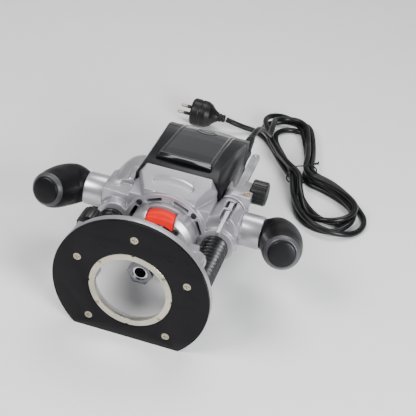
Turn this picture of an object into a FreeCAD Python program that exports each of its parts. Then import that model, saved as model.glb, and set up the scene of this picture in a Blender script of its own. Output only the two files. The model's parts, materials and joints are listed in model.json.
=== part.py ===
import FreeCAD, Part
import math
import os
import re

import Sketcher

# A two-handled plunge router lying on its back.
# Pieces are laid out from the spindle axis at the sole face: X runs to the right handle,
# Y runs up the spindle from the sole to the motor's end cap, Z points out of the router's front.
# seat() then moves every piece so that +Z is up, z = 0 is the resting plane, and the router's
# length is centred on y = 0.

os.makedirs("parts", exist_ok=True)

V = FreeCAD.Vector
ALONG_Y = V(0, 1, 0)
ALONG_X = V(1, 0, 0)
ALONG_Z = V(0, 0, 1)

SIZES = {
    # whole machine
    "overall_length": 295,
    "axis_height": 62,
    "running_gap": 0.05,
    "free_gap": 0.3,
    # base
    "base_radius": 85,
    "sole_thickness": 4,
    "base_top": 11,
    "opening_radius": 38.5,
    "ring_radius": 45.4,
    "ring_depth": 3,
    "sole_screw_circle": 64,
    "column_offset": 60,
    "column_radius": 7.5,
    "column_bore": 5.2,
    "column_foot": 6,
    "column_top": 150,
    "boss_radius": 20,
    "boss_top": 26,
    "guide_rod_radius": 5,
    "guide_rod_offset": 44,
    "guide_rod_level": 17,
    "guide_boss_top": 25,
    "guide_boss_inner": 46,
    "guide_boss_outer": 68,
    "guide_boss_half": 7,
    "clamp_offset": 62,
    "clamp_knob_radius": 11,
    "clamp_knob_low": 31,
    "clamp_knob_high": 51,
    # turret
    "turret_across": 55,
    "turret_forward": 35.5,
    "turret_radius": 13,
    "turret_low": 25.3,
    "turret_step": 7,
    "turret_first_stop": 34,
    # carriage
    "tower_low": 112,
    "tower_high": 186,
    "tower_neck_high": 207,
    "tower_radius": 20,
    "tower_bore": 10,
    "bush_length": 26,
    "flange_low": 118,
    "flange_radius": 48,
    "body_low": 150,
    "body_half_width": 50,
    "motor_bore": 43,
    "nose_radius": 39,
    "nose_low": 88,
    "window_floor": 15.2,
    "bearing_low": 104,
    "bearing_radius": 17.5,
    "cap_low": 262,
    # handles
    "handle_level": 145,
    "handle_forward": 8,
    "socket_radius": 19,
    "socket_inner": 80,
    "socket_outer": 104,
    "grip_radius": 23.5,
    # depth rod
    "rod_across": 64.5,
    "rod_forward": 33.5,
    "rod_left": 59.75,
    "rod_right": 69.25,
    "rod_back": 31,
    "rod_front": 36,
    "rod_width": 9.5,
    "rod_slim": 4.6,
    "rod_low": 88,
    "rod_shoulder": 152,
    "rod_high": 254,
    "knob_level": 184,
    "knob_radius": 14,
    "knob_inner": 78,
    "knob_outer": 96,
    # spindle
    "collet_low": 31,
    "collet_radius": 6.35,
    "shaft_radius": 8.5,
    "shaft_slim": 7,
    "shaft_top_radius": 5,
    # bellows
    "bellows_radius": 15.5,
    "bellows_valley": 12.2,
    "bellows_inner": 9,
    # lock button
    "button_half_width": 15.5,
    "button_inner_radius": 26,
    # cord
    "cord_radius": 3.75,
    "cord_exit_across": 42,
    "cord_exit_forward": 10,
    "relief_length": 42,
}

doc = FreeCAD.newDocument("PlungeRouter")
sheet = doc.addObject("Spreadsheet::Sheet", "Size")
for row, (name, size) in enumerate(SIZES.items(), 1):
    sheet.set(f"A{row}", name)
    sheet.set(f"B{row}", str(size))
    sheet.setAlias(f"B{row}", name)
doc.recompute()

NOSE_SCREW_ANGLES = (48, 132, 228, 312)
FLANGE_SCREW_ANGLES = (45, 135, 225, 315)
RING_SCREW_ANGLES = (38, 142, 218, 322)
RING_SCREW_CIRCLE = 43
# the left tower ends in a smooth shoulder, the right one in two ringed steps
TOWER_STEPS = {
    -1: [("tower_radius", "tower_low", "186"), ("tower_radius - 2", "186", "193"),
         ("tower_radius - 6", "193", "201"), ("tower_radius - 9", "201", "tower_neck_high")],
    1: [("tower_radius", "tower_low", "170"), ("tower_radius - 2.4", "170", "187"),
        ("tower_radius - 4.2", "187", "190"),
        ("tower_radius - 3.4", "190", "194"), ("tower_radius - 5", "194", "200"),
        ("tower_radius - 8", "200", "tower_neck_high")]}
ALIAS = re.compile(r"\b(" + "|".join(sorted(SIZES, key=len, reverse=True)) + r")\b")
PIECES = []


# --- helpers ---------------------------------------------------------------------------------

def linked(text):
    """An expression that reads its names from the size sheet."""
    return ALIAS.sub(r"Size.\1", str(text))


def number(text):
    """The value that an expression has in the size sheet."""
    return float(sheet.evalExpression(str(text)))


def bind(item, **links):
    for name, text in links.items():
        item.setExpression(name, linked(text))


def seat(item, x="0", y="0", z="0"):
    """Place a piece; x, y and z are measured from the spindle axis at the sole face."""
    item.setExpression("Placement.Base.x", linked(x))
    item.setExpression("Placement.Base.y", linked(f"{y} - overall_length / 2"))
    item.setExpression("Placement.Base.z", linked(f"{z} + axis_height"))
    return item


def keep(item):
    """List an object as one of the router's sub-parts."""
    PIECES.append(item)
    return item


def new_body(label, x="0", y="0", z="0"):
    body = doc.addObject("PartDesign::Body", label)
    body.Label = label
    return seat(body, x, y, z)


def origin_part(body, role):
    return next(part for part in body.Origin.OriginFeatures if part.Role == role)


def new_sketch(body, role, depth="0"):
    """A sketch on a plane of the body's origin, moved depth along the positive axis."""
    sketch = body.newObject("Sketcher::SketchObject", body.Name + "_sketch")
    sketch.AttachmentSupport = (origin_part(body, role), [""])
    sketch.MapMode = "FlatFace"
    # the XZ plane faces backwards, along -Y
    sign = "-" if role == "XZ_Plane" else ""
    sketch.setExpression("AttachmentOffset.Base.z", linked(f"{sign}({depth})"))
    return sketch


def fix_point(sketch, geometry, spot, u, v):
    for kind, text in (("DistanceX", u), ("DistanceY", v)):
        index = sketch.addConstraint(Sketcher.Constraint(kind, -1, 1, geometry, spot, number(text)))
        sketch.setExpression(f"Constraints[{index}]", linked(text))


def draw_polygon(sketch, corners):
    """A closed outline of straight lines; every corner is tied to the sheet."""
    first = sketch.GeometryCount
    spots = [V(number(u), number(v), 0) for u, v in corners]
    count = len(spots)
    for index in range(count):
        sketch.addGeometry(Part.LineSegment(spots[index], spots[(index + 1) % count]), False)
    for index in range(count):
        following = first + (index + 1) % count
        sketch.addConstraint(Sketcher.Constraint("Coincident", first + index, 2, following, 1))
    for index, (u, v) in enumerate(corners):
        fix_point(sketch, first + index, 1, u, v)
    return sketch


def draw_circle(sketch, u, v, radius):
    circle = Part.Circle(V(number(u), number(v), 0), ALONG_Z, number(radius))
    index = sketch.addGeometry(circle, False)
    fix_point(sketch, index, 3, u, v)
    ring = sketch.addConstraint(Sketcher.Constraint("Radius", index, number(radius)))
    sketch.setExpression(f"Constraints[{ring}]", linked(radius))
    return sketch


def pad(body, sketch, length):
    """Add material along the positive axis of the sketch's plane."""
    feature = body.newObject("PartDesign::Pad", body.Name + "_pad")
    feature.Profile = sketch
    feature.Reversed = sketch.AttachmentSupport[0][0].Role == "XZ_Plane"
    feature.Refine = False
    bind(feature, Length=length)
    return feature


def pocket(body, sketch, length):
    """Remove material along the positive axis of the sketch's plane."""
    feature = body.newObject("PartDesign::Pocket", body.Name + "_pocket")
    feature.Profile = sketch
    feature.Reversed = sketch.AttachmentSupport[0][0].Role != "XZ_Plane"
    feature.Refine = False
    bind(feature, Length=length)
    return feature


def block(body, role, corners, low, high):
    return pad(body, draw_polygon(new_sketch(body, role, low), corners), f"({high}) - ({low})")


def notch(body, role, corners, low, high):
    return pocket(body, draw_polygon(new_sketch(body, role, low), corners), f"({high}) - ({low})")


def drum(body, role, u, v, radius, low, high):
    return pad(body, draw_circle(new_sketch(body, role, low), u, v, radius), f"({high}) - ({low})")


def bore(body, role, u, v, radius, low, high):
    return pocket(body, draw_circle(new_sketch(body, role, low), u, v, radius), f"({high}) - ({low})")


def rectangle(u_low, v_low, u_high, v_high):
    return [(u_low, v_low), (u_high, v_low), (u_high, v_high), (u_low, v_high)]


def revolve(body, corners, axis, kind="PartDesign::Revolution"):
    """Turn an outline on the XY plane about the body's X or Y axis."""
    feature = body.newObject(kind, body.Name + "_turned")
    feature.Profile = draw_polygon(new_sketch(body, "XY_Plane"), corners)
    feature.ReferenceAxis = (origin_part(body, axis), [""])
    feature.Angle = 360
    feature.Refine = False
    return feature


def turned_up(label, corners, x="0", z="0"):
    """A turned piece about a line along Y; corners are (radius, y)."""
    body = new_body(label, x, "0", z)
    revolve(body, corners, "Y_Axis")
    return keep(body)


def turned_across(label, corners, y, z):
    """A turned piece about a line along X; corners are (x, radius)."""
    body = new_body(label, "0", y, z)
    revolve(body, corners, "X_Axis")
    return keep(body)


def turned_corners(corners, degrees):
    """Corners given as numbers, turned about the sketch's origin."""
    cosine = math.cos(math.radians(degrees))
    sine = math.sin(math.radians(degrees))
    return [(f"{u * cosine - v * sine:.3f}", f"{u * sine + v * cosine:.3f}") for u, v in corners]


def ring_profile(inner, outer, low, high):
    return [(inner, low), (outer, low), (outer, high), (inner, high)]


def pattern(body, feature, axis, count):
    copies = body.newObject("PartDesign::PolarPattern", body.Name + "_pattern")
    copies.Originals = [feature]
    copies.Axis = (origin_part(body, axis), [""])
    copies.Angle = 360
    copies.Occurrences = count
    copies.Refine = False
    body.Tip = copies
    return copies


def shaped(label, shape):
    """A sub-part whose shape is made directly; the shape is in the layout's own frame."""
    item = doc.addObject("Part::Feature", label)
    item.Label = label
    item.Shape = Part.makeCompound([shape])
    return keep(seat(item))


def mirror_x(text, side):
    return text if side > 0 else f"-({text})"


def sides():
    return (("left", -1), ("right", 1))


# --- base ------------------------------------------------------------------------------------

def draw_base_outline(sketch):
    """The base's outline: round, with a flat back level with the motor's back."""
    radius = number("base_radius")
    flat = number("axis_height")
    start = math.asin(-flat / radius)
    arc = Part.ArcOfCircle(Part.Circle(V(0, 0, 0), ALONG_Z, radius), start, math.pi - start)
    sketch.addGeometry(arc, False)
    half = math.sqrt(radius ** 2 - flat ** 2)
    sketch.addGeometry(Part.LineSegment(V(-half, -flat, 0), V(half, -flat, 0)), False)
    sketch.addConstraint(Sketcher.Constraint("Coincident", 0, 3, -1, 1))
    sketch.addConstraint(Sketcher.Constraint("Coincident", 0, 2, 1, 1))
    sketch.addConstraint(Sketcher.Constraint("Coincident", 0, 1, 1, 2))
    sketch.addConstraint(Sketcher.Constraint("Horizontal", 1))
    ring = sketch.addConstraint(Sketcher.Constraint("Radius", 0, radius))
    sketch.setExpression(f"Constraints[{ring}]", linked("base_radius"))
    back = sketch.addConstraint(Sketcher.Constraint("DistanceY", -1, 1, 1, 1, -flat))
    sketch.setExpression(f"Constraints[{back}]", linked("-axis_height"))
    return sketch


def base_disc(body, low, high):
    return pad(body, draw_base_outline(new_sketch(body, "XZ_Plane", low)), f"({high}) - ({low})")


def sole_screw_spots():
    """Angles of the sole screws from the X axis: one in front, the rest in two pairs."""
    circle = number("sole_screw_circle")
    angles = (90, 90 - 67, 90 + 67, 90 - 138, 90 + 138)
    return [V(circle * math.cos(math.radians(a)), 0, circle * math.sin(math.radians(a))) for a in angles]


def make_base_casting():
    body = new_body("base_casting")
    base_disc(body, "sole_thickness", "base_top")
    for _, side in sides():
        drum(body, "XZ_Plane", mirror_x("column_offset", side), "0", "boss_radius", "base_top", "boss_top")
        for end in ("", "-"):
            corners = rectangle(
                mirror_x("guide_boss_inner", side), f"{end}(guide_rod_offset - guide_boss_half)",
                mirror_x("guide_boss_outer", side), f"{end}(guide_rod_offset + guide_boss_half)")
            block(body, "XZ_Plane", corners, "base_top", "guide_boss_top")
    drum(body, "XZ_Plane", "turret_across", "turret_forward", "turret_radius + 0.5", "base_top",
         "guide_boss_top")
    bore(body, "XZ_Plane", "0", "0", "opening_radius + 2.5", "sole_thickness", "boss_top")
    bore(body, "XZ_Plane", "0", "0", "ring_radius + 0.3", "sole_thickness", "sole_thickness + ring_depth")
    for _, side in sides():
        bore(body, "XZ_Plane", mirror_x("column_offset", side), "0", "column_radius", "column_foot",
             "boss_top")
    for end in ("", "-"):
        bore(body, "YZ_Plane", "guide_rod_level", f"{end}guide_rod_offset", "guide_rod_radius + running_gap",
             "-base_radius", "base_radius")
    # tapped holes for the clamp screws, the turret's pivot and the sole screws
    bore(body, "XZ_Plane", "-clamp_offset", "guide_rod_offset", "3.3", "guide_rod_level", "guide_boss_top")
    bore(body, "XZ_Plane", "clamp_offset", "-guide_rod_offset", "3.3", "guide_rod_level", "guide_boss_top")
    bore(body, "XZ_Plane", "turret_across", "turret_forward", "2.5", "13", "guide_boss_top")
    for spot in sole_screw_spots():
        bore(body, "XZ_Plane", str(round(spot.x, 3)), str(round(spot.z, 3)), "2.5", "sole_thickness", "10")
    for spot in on_circle(RING_SCREW_CIRCLE, 0, RING_SCREW_ANGLES):
        bore(body, "XZ_Plane", str(round(spot.x, 3)), str(round(spot.z, 3)), "1.3", "sole_thickness", "9.6")
    return keep(body)


def make_sole():
    body = new_body("sole_plate")
    base_disc(body, "0", "sole_thickness")
    bore(body, "XZ_Plane", "0", "0", "ring_radius + 0.3", "0", "sole_thickness")
    doc.recompute()
    plate = seat(doc.addObject("Part::Feature", "sole_tools"))
    heads = []
    for spot in sole_screw_spots():
        heads.append(Part.makeCone(5.2, 2.7, 2.6, V(spot.x, -0.01, spot.z), ALONG_Y))
        heads.append(Part.makeCylinder(2.7, 6, V(spot.x, -1, spot.z), ALONG_Y))
    plate.Shape = heads[0].multiFuse(heads[1:])
    seat(plate)
    body.Label = "sole_blank"
    cut = doc.addObject("Part::Cut", "sole_plate_cut")
    cut.Base = body
    cut.Tool = plate
    cut.Label = "sole_plate"
    keep(cut)
    screws = []
    for spot in sole_screw_spots():
        head = Part.makeCone(4.2, 2.5, 1.7, V(spot.x, 0.95, spot.z), ALONG_Y)
        shank = Part.makeCylinder(2.5, 9, V(spot.x, 0.97, spot.z), ALONG_Y)
        slots = Part.makeBox(5.6, 1.2, 1, V(spot.x - 2.8, 0.8, spot.z - 0.5)).fuse(
            Part.makeBox(1, 1.2, 5.6, V(spot.x - 0.5, 0.8, spot.z - 2.8)))
        screws.append(head.fuse(shank).cut(slots))
    shaped("sole_screws", Part.makeCompound(screws))


def make_bush_ring():
    """The guide-bush ring let into the sole, with its four countersunk screws and four key notches."""
    low = "0.6"
    top = "sole_thickness + ring_depth"
    ring = new_body("bush_ring")
    revolve(ring, [
        ("opening_radius", low), ("ring_radius - 0.6", low), ("ring_radius", "1.2"),
        ("ring_radius", top), ("opening_radius + 2", top), ("opening_radius + 2", "3.4"),
        ("opening_radius", "3.4")], "Y_Axis")
    screws = []
    for spot in on_circle(RING_SCREW_CIRCLE, 0, RING_SCREW_ANGLES):
        across = str(round(spot.x, 3))
        forward = str(round(spot.z, 3))
        bore(ring, "XZ_Plane", across, forward, "1.35", low, top)
        bore(ring, "XZ_Plane", across, forward, "2.2", low, "2.2")
        head = Part.makeCylinder(2.1, 1.2, spot + V(0, 0.95, 0), ALONG_Y)
        shank = Part.makeCylinder(1.3, 8, spot + V(0, 1.5, 0), ALONG_Y)
        slot = Part.makeBox(3.4, 1.2, 0.7, spot + V(-1.7, 0.5, -0.35))
        screws.append(head.fuse(shank).cut(slot))
    for spot in on_circle(number("ring_radius") + 0.4, 0, (0, 90, 180, 270)):
        bore(ring, "XZ_Plane", str(round(spot.x, 3)), str(round(spot.z, 3)), "2.1", low, "2.4")
    keep(ring)
    shaped("bush_ring_screws", Part.makeCompound(screws))


def make_column(label, side):
    turned_up(f"column_{label}", [
        ("0", "column_foot"), ("column_radius", "column_foot"), ("column_radius", "column_top - 1"),
        ("column_radius - 1", "column_top"), ("column_bore", "column_top"),
        ("column_bore", "column_foot + 6"),
        ("0", "column_foot + 6")], mirror_x("column_offset", side))


def make_bellows(label, side):
    """A rubber gaiter: outer folds between the base boss and the tower."""
    low = number("boss_top + free_gap")
    high = number("tower_low - free_gap")
    folds = 13
    pitch = (high - low) / folds
    corners = [("bellows_inner", str(low))]
    for fold in range(folds):
        corners.append(("bellows_valley", str(round(low + fold * pitch, 4))))
        corners.append(("bellows_radius", str(round(low + (fold + 0.5) * pitch, 4))))
    corners.append(("bellows_valley", str(high)))
    corners.append(("bellows_inner", str(high)))
    turned_up(f"bellows_{label}", corners, mirror_x("column_offset", side))


def coil(centre, axis, radius, wire, pitch, length):
    """A compression spring of round wire, from centre along axis."""
    spine = Part.makeHelix(pitch, length, radius)
    section = Part.Wire([Part.makeCircle(wire, V(radius, 0, 0), V(0, 1, pitch / (2 * math.pi * radius)))])
    spring = Part.Wire(spine.Edges).makePipeShell([section], True, True)
    spring.Placement = FreeCAD.Placement(centre, FreeCAD.Rotation(ALONG_Z, axis))
    return spring


def make_plunge_springs():
    """One long spring in each column, from the column's foot to the top of its tower."""
    low = number("column_foot + 7.2")
    high = number("tower_neck_high - 5.5")
    starts = [V(side * number("column_offset"), low, 0) for _, side in sides()]
    springs = [coil(start, ALONG_Y, 3.9, 0.8, 8, high - low) for start in starts]
    shaped("plunge_springs", Part.makeCompound(springs))


def make_turret():
    """A stepped depth stop: three sectors of different heights round a hub."""
    body = new_body("depth_turret", "turret_across", "0", "turret_forward")
    drum(body, "XZ_Plane", "0", "0", "turret_radius", "turret_low", "turret_first_stop")
    # the taller sectors face away from the depth rod
    reach = "turret_radius"
    block(body, "XZ_Plane", rectangle("-turret_radius * 0.72", "1", "1.5", f"{reach} * 0.66"),
          "turret_first_stop", "turret_first_stop + 2 * turret_step - 1")
    block(body, "XZ_Plane", rectangle("-turret_radius * 0.72", f"-{reach} * 0.66", "1.5", "-1"),
          "turret_first_stop", "turret_first_stop + turret_step")
    bore(body, "XZ_Plane", "0", "0", "2.6", "turret_low", "turret_first_stop + 20")
    bore(body, "XZ_Plane", "0", "0", "4.4", "30", "turret_first_stop + 20")
    keep(body)
    turned_up("turret_pivot_screw", [
        ("0", "14"), ("2.5", "14"), ("2.5", "30.3"), ("4.1", "30.3"), ("4.1", "32.6"), ("3.6", "33.2"),
        ("0", "33.2")],
        "turret_across", "turret_forward")


def make_guide_clamp(label, side, end):
    """A thumb screw whose tip meets a guide rod in the base."""
    body = new_body(f"guide_clamp_{label}", mirror_x("clamp_offset", side), "0", f"{end}guide_rod_offset")
    tip = "guide_rod_level + guide_rod_radius + 0.6"
    revolve(body, [
        ("0", tip), ("3.25", tip), ("3.25", "clamp_knob_low"), ("clamp_knob_radius", "clamp_knob_low"),
        ("clamp_knob_radius", "clamp_knob_high - 1.5"), ("clamp_knob_radius - 1.5", "clamp_knob_high"),
        ("0", "clamp_knob_high")], "Y_Axis")
    flute = bore(body, "XZ_Plane", "clamp_knob_radius + 0.9", "0", "1.7", "clamp_knob_low - 1",
                 "clamp_knob_high + 1")
    pattern(body, flute, "Y_Axis", 12)
    keep(body)


# --- carriage --------------------------------------------------------------------------------

def make_carriage():
    """The main casting: a faceted motor housing between two column towers."""
    body = new_body("carriage_casting")
    drum(body, "XZ_Plane", "0", "0", "flange_radius", "tower_low", "flange_low + 8")
    housing = [("-37.7", "58"), ("37.7", "58"), ("46.5", "43"), ("body_half_width", "-46"),
               ("37", "-axis_height"),
               ("-37", "-axis_height"), ("-body_half_width", "-46"), ("-46.5", "43")]
    block(body, "XZ_Plane", housing, "flange_low", "body_low")
    # the front slopes in towards the flange, with a facet at each corner
    notch(body, "YZ_Plane", [("flange_low - 1", "45.6"), ("body_low", "58"), ("body_low", "70"),
                             ("flange_low - 1", "70")], "-60", "60")
    for _, side in sides():
        notch(body, "XY_Plane", [(mirror_x("29", side), "flange_low - 1"),
                                 (mirror_x("46.5", side), "body_low + 1"),
                                 (mirror_x("60", side), "body_low + 1"),
                                 (mirror_x("60", side), "flange_low - 1")],
              "36", "70")
    notch(body, "YZ_Plane", [("flange_low - 1", "-50"), ("body_low - 8", "-axis_height"),
                             ("body_low - 8", "-70"),
                             ("flange_low - 1", "-70")], "-60", "60")
    for _, side in sides():
        across = mirror_x("column_offset", side)
        for radius, low, high in TOWER_STEPS[side]:
            drum(body, "XZ_Plane", across, "0", radius, low, high)
        # the shoulder between the housing and the tower, and the arm out to the handle
        block(body, "XY_Plane", [
            (mirror_x("34", side), "122"), (mirror_x("socket_inner", side), "126"),
            (mirror_x("socket_inner", side), "164"), (mirror_x("66", side), "tower_high - 4"),
            (mirror_x("50.6", side), "tower_high"),
            (mirror_x("50.6", side), "body_low - 2"), (mirror_x("34", side), "body_low - 2")], "-12", "27")
    # a horn beside the motor on top of each tower: tall on the left, a short peak on the right
    block(body, "XY_Plane", [("-50.2", "body_low - 4"), ("-56.4", "body_low - 4"), ("-56.4", "178"),
                             ("-53.5", "184"),
                             ("-50.2", "184")], "8", "41")
    notch(body, "YZ_Plane", [("body_low - 5", "34"), ("162", "41.1"), ("162", "50"), ("body_low - 5", "50")],
          "-58", "-49")
    block(body, "XY_Plane", [("50.2", "174"), ("57.2", "174"), ("57.2", "181"), ("53", "193"),
                             ("50.2", "193")],
          "10", "34")
    # the boss in front of the right tower, where the depth rod slides in an open channel
    drum(body, "XZ_Plane", "61.5", "21", "17", "tower_low + 5", "155")
    channel = rectangle("rod_left - free_gap", "rod_back - free_gap", "rod_right + free_gap",
                        "rod_front + free_gap")
    notch(body, "XZ_Plane", channel, "tower_low - 1", "156")
    for low, high in (("tower_low + 4", "131"), ("134", "148")):
        notch(body, "XZ_Plane", rectangle("rod_left - 0.8", "rod_back - 0.8", "rod_right + 0.8", "45"), low,
              high)
    slope = [("127.5", "48.4"), ("142.5", "54"), ("142.5", "70"), ("127.5", "70")]
    notch(body, "YZ_Plane", slope, "-21", "21")
    notch(body, "XY_Plane", rectangle("48", "127", "62", "143"), "23.6", "30")
    for _, side in sides():
        across = mirror_x("column_offset", side)
        bore(body, "XZ_Plane", across, "0", "tower_bore", "tower_low", "tower_low + bush_length")
        bore(body, "XZ_Plane", across, "0", "column_radius + 0.5", "tower_low", "tower_neck_high - 3.5")
    # flat sides where the towers stand against the motor
    notch(body, "XZ_Plane", rectangle("-body_half_width - 0.2", "-80", "body_half_width + 0.2", "80"),
          "body_low", "tower_neck_high + 1")
    for spot in on_circle(44.2, 0, FLANGE_SCREW_ANGLES):
        bore(body, "XZ_Plane", str(round(spot.x, 3)), str(round(spot.z, 3)), "2", "tower_low",
             "tower_low + 7")
    # motor chamber and the bearing seat below it
    chamber = [("0", "tower_low"), ("nose_radius - 8", "tower_low"), ("nose_radius - 8", "flange_low + 2"),
               ("motor_bore", "flange_low + 2"), ("motor_bore", "body_low + 1"), ("0", "body_low + 1")]
    revolve(body, chamber, "Y_Axis", "PartDesign::Groove")
    # cooling slots round the flange
    slot = notch(body, "XZ_Plane", turned_corners(rectangle(38.8, -9.5, 42.8, 9.5), 22.5),
                 "tower_low - 1", "flange_low + 9")
    pattern(body, slot, "Y_Axis", 8)
    return keep(body)


def make_nose():
    body = new_body("nose_housing")
    revolve(body, [
        ("9.5", "nose_low"), ("nose_radius - 5", "nose_low"), ("nose_radius", "nose_low + 5"),
        ("nose_radius", "tower_low - free_gap"), ("bearing_radius", "tower_low - free_gap"),
        ("bearing_radius", "bearing_low"), ("9.5", "bearing_low")], "Y_Axis")
    # the window for the lock button, down to the round bearing boss
    notch(body, "XZ_Plane", rectangle("-button_half_width - 0.8", "window_floor", "button_half_width + 0.8",
                                      "50"),
          "nose_low - 1", "bearing_low")
    for spot in on_circle(29, 0, NOSE_SCREW_ANGLES):
        bore(body, "XZ_Plane", str(round(spot.x, 3)), str(round(spot.z, 3)), "2", "nose_low", "nose_low + 7")
    bore(body, "XY_Plane", "0", "nose_low + 7", "2.7", "5", "50")
    return keep(body)


def make_bearing_and_bush():
    turned_up("lower_bearing", ring_profile("shaft_radius + running_gap", "bearing_radius", "bearing_low",
                                            "flange_low"))
    turned_up("upper_bearing", ring_profile("shaft_top_radius + running_gap", "11", "252", "262"))
    bushes = []
    for _, side in sides():
        start = V(side * number("column_offset"), number("tower_low"), 0)
        bush = Part.makeCylinder(number("tower_bore"), number("bush_length"), start, ALONG_Y)
        inside = Part.makeCylinder(number("column_radius + running_gap"), number("bush_length"), start,
                                   ALONG_Y)
        bushes.append(bush.cut(inside))
    shaped("column_bushes", Part.makeCompound(bushes))


def round_screws(label, spots, head, head_height, shank, length, direction):
    """Cap screws: each spot is the seat under the head, and the shank runs along direction."""
    screws = []
    for spot in spots:
        top = Part.makeCylinder(head, head_height, spot - direction * head_height, direction)
        socket = Part.makeCylinder(head * 0.5, head_height * 0.6, spot - direction * head_height, direction)
        screws.append(top.cut(socket).fuse(Part.makeCylinder(shank, length, spot, direction)))
    return shaped(label, Part.makeCompound(screws))


def on_circle(radius, level, degrees):
    turns = [math.radians(a) for a in degrees]
    return [V(radius * math.cos(turn), level, radius * math.sin(turn)) for turn in turns]


def shell_front(offset):
    """The side outline of the motor's front, from the casting to the end of the cap."""
    return [("body_low + 0.2", f"57 - {offset}"), ("172", f"63 - {offset}"), ("233", f"54 - {offset}"),
            ("cap_low", f"47.5 - {offset}")]


def cap_front(offset):
    return [("cap_low", f"47.5 - {offset}"), ("282", f"40 - {offset}"),
            ("overall_length - 3", f"29 - {offset}")]


def make_motor_shell():
    """The plastic field case: bored for the stator, open at both ends."""
    body = new_body("motor_shell")
    low = "body_low + 0.2"
    front = shell_front("3")
    back = [("cap_low", "-axis_height + 3"), ("200", "-axis_height"), (low, "-axis_height")]
    block(body, "YZ_Plane", front + back, "-body_half_width", "body_half_width")
    for _, side in sides():
        edge = mirror_x("body_half_width + 1", side)
        for near, far in (("40", "70"), ("-46", "-70")):
            notch(body, "XZ_Plane", [(mirror_x("36", side), far), (edge, near), (edge, far)], low, "cap_low")
    bore(body, "XZ_Plane", "0", "0", "motor_bore", low, "248")
    bore(body, "XZ_Plane", "0", "0", "11 + running_gap", "248", "cap_low")
    # the switch opening and the brush ports
    notch(body, "YZ_Plane", rectangle("210", "3", "240", "20"), "-body_half_width - 1", "-40")
    bore(body, "YZ_Plane", "232", "-14", "6.5", "-body_half_width - 1", "body_half_width + 1")
    return keep(body)


def make_end_cap():
    body = new_body("end_cap")
    front = cap_front("3")
    back = [("overall_length", "14"), ("overall_length", "-40"), ("overall_length - 10", "-55"),
            ("cap_low + 0.2", "-axis_height + 3"), ("cap_low + 0.2", "44.5")]
    block(body, "YZ_Plane", front[1:] + back, "-body_half_width", "body_half_width")
    for _, side in sides():
        edge = mirror_x("body_half_width + 1", side)
        for near, far in (("40", "70"), ("-46", "-70")):
            notch(body, "XZ_Plane", [(mirror_x("36", side), far), (edge, near), (edge, far)],
                  "cap_low", "overall_length + 1")
        notch(body, "XY_Plane", [(mirror_x("44", side), "overall_length + 1"), (edge, "278"),
                                 (edge, "overall_length + 1")], "-80", "80")
    notch(body, "XZ_Plane", rectangle("-40", "-46", "40", "30"), "cap_low", "overall_length - 12")
    # the cord's entry, and the opening for the speed dial
    drum(body, "XZ_Plane", "cord_exit_across", "cord_exit_forward", "8.6", "270", "overall_length")
    bore(body, "XZ_Plane", "cord_exit_across", "cord_exit_forward", "6", "overall_length - 12",
         "overall_length")
    notch(body, "XY_Plane", rectangle("24", "264", "body_half_width + 2", "288"), "-4", "4")
    return keep(body)


def make_front_cover():
    """The moulded cover over the front of the motor, as wide as the flat front."""
    body = new_body("front_cover")
    outer = [("163", "62"), ("172", "63.6"), ("233", "54.6"), ("cap_low", "48"), ("282", "40.6"),
             ("overall_length - 3", "29")]
    inner = [("overall_length - 3", "26.3"), ("282", "37.3"), ("cap_low", "44.8"), ("233", "51.3"),
             ("172", "60.3"), ("163", "58.6")]
    block(body, "YZ_Plane", outer + inner, "-33", "33")
    return keep(body)


def make_motor_inside():
    turned_up("stator_core", ring_profile("23.5", "motor_bore - 0.4", "151", "205"))
    windings = []
    for low in (138, 205.3):
        for start in (15, 195):
            ring = Part.makeCylinder(40, 12, V(0, low, 0), ALONG_Y, 150)
            ring = ring.cut(Part.makeCylinder(26, 14, V(0, low - 1, 0), ALONG_Y))
            ring.rotate(V(0, 0, 0), ALONG_Y, start)
            windings.append(ring)
    shaped("stator_windings", Part.makeCompound(windings))
    holders = []
    brushes = []
    caps = []
    for _, side in sides():
        start = V(16 if side > 0 else -37.5, 226, -20)
        holder = Part.makeBox(21.5, 12, 12, start)
        holder = holder.cut(Part.makeBox(24, 7, 8, start + V(-1, 2.5, 2)))
        holders.append(holder)
        brushes.append(Part.makeBox(18, 6.6, 7.6, V(14.6 if side > 0 else -32.6, 228.7, -17.8)))
        caps.append(Part.makeCylinder(6.3, 5, V(side * 45.2, 232, -14), ALONG_X * side))
    shaped("brush_holders", Part.makeCompound(holders))
    shaped("carbon_brushes", Part.makeCompound(brushes))
    shaped("brush_caps", Part.makeCompound(caps))


# --- rotor -----------------------------------------------------------------------------------

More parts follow.
